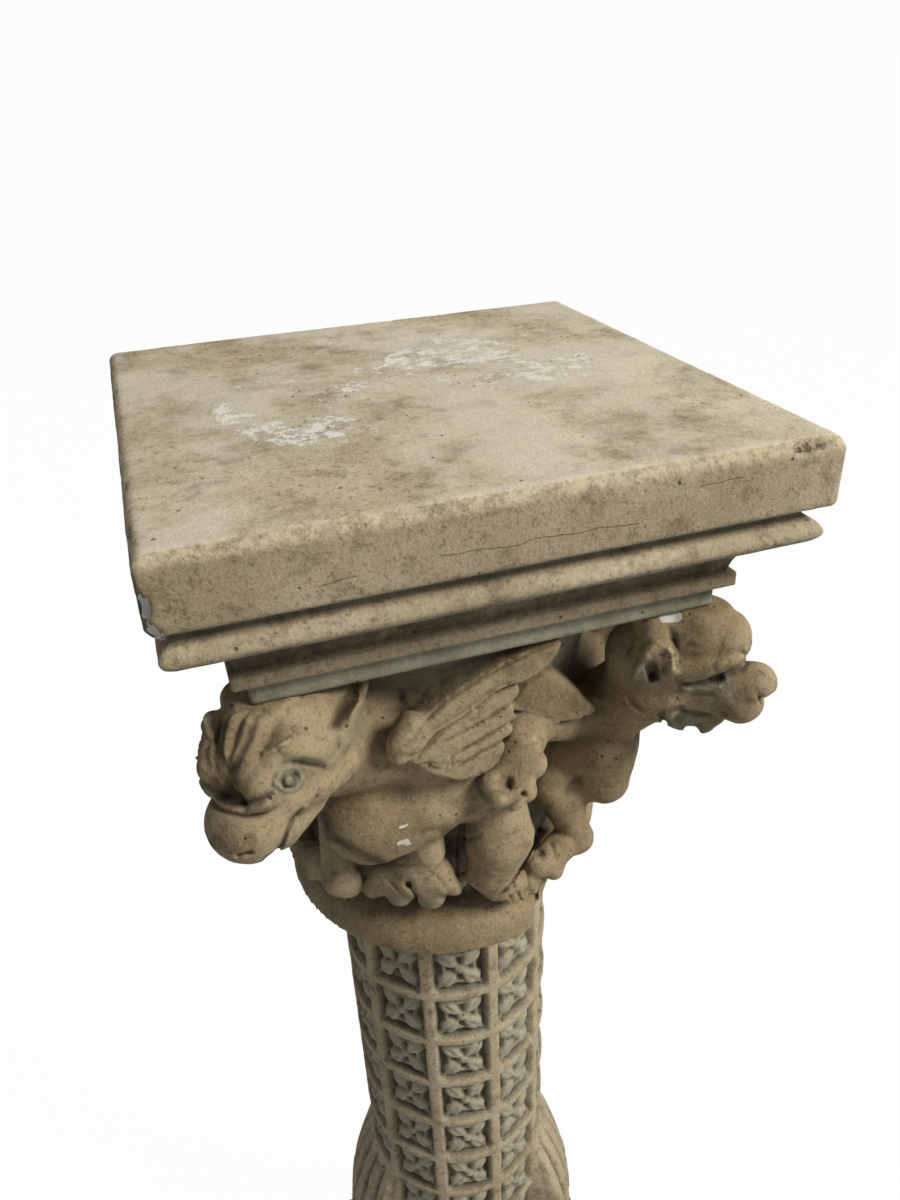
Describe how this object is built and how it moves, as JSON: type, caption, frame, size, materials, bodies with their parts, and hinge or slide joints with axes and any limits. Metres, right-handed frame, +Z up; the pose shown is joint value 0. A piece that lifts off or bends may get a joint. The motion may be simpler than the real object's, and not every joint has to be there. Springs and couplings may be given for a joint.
{
  "type": "carved pedestal column",
  "caption": "Carved stucco pedestal column with a square moulded top, a capital of crouching winged beasts and a panelled round shaft.",
  "frame": {"origin": "middle of the plinth's underside, on the floor", "axes": "+Z up along the shaft's axis, -Y towards the front, +X to the right seen from the front"},
  "size_m": [0.32, 0.32, 1],
  "materials": {
    "stucco": "matte"
  },
  "bodies": {
    "root": {"column": "stucco"}
  },
  "joints": []
}
